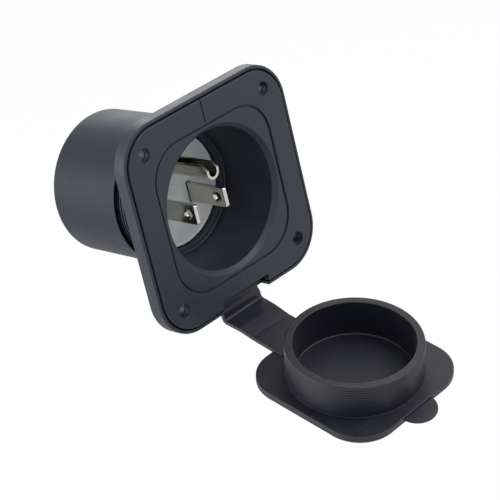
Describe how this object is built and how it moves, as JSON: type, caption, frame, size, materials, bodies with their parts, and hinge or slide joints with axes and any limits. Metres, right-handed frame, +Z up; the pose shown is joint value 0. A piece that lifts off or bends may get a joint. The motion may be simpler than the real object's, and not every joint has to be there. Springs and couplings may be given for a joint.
{
  "type": "power inlet plug",
  "caption": "Square flanged power inlet with recessed blades and a ground pin, a screw-on round rear housing and a hinged rubber cover.",
  "frame": {"origin": "on the bore's axis, in the plane of the flange's back, where it lies on the panel", "axes": "+Y along the bore from the mouth to the rear housing, +Z up, +X to the right as seen from the front"},
  "size_m": [0.0676, 0.131, 0.0951],
  "materials": {
    "charcoal_nylon": "satin, fine grain",
    "charcoal_housing": "satin, fine grain",
    "pale_urea": "satin",
    "black_phenolic": "satin",
    "black_rubber": "soft sheen",
    "nickel_brass": "nickel plated, polished",
    "plated_steel": "zinc plated"
  },
  "bodies": {
    "inlet": {"inlet_body": "charcoal_nylon", "flange_frame": "charcoal_nylon", "contact_base": "pale_urea", "line_blade": "nickel_brass", "neutral_blade": "nickel_brass", "ground_pin": "nickel_brass", "terminal_block": "black_phenolic", "line_clamp": "plated_steel", "neutral_clamp": "plated_steel", "ground_clamp": "plated_steel", "line_screw": "nickel_brass", "neutral_screw": "nickel_brass", "ground_screw": "nickel_brass", "base_screw_left": "plated_steel", "base_screw_right": "plated_steel", "neck_seal": "black_rubber", "rear_housing": "charcoal_housing", "gland_seal": "black_rubber", "gland_nut": "charcoal_housing", "cover_anchor": "black_rubber"},
    "cover": {"cover_lid": "black_rubber"}
  },
  "joints": [
    {"name": "cover_hinge", "type": "hinge", "parent": "inlet", "child": "cover", "pos_m": [0, -0.0056, -0.0398], "axis": [0.9996, -0.0236, 0.0174], "range_deg": [-107.12, 70], "stiffness_Nm_per_rad": 0.01, "springref_deg": -21.2}
  ]
}
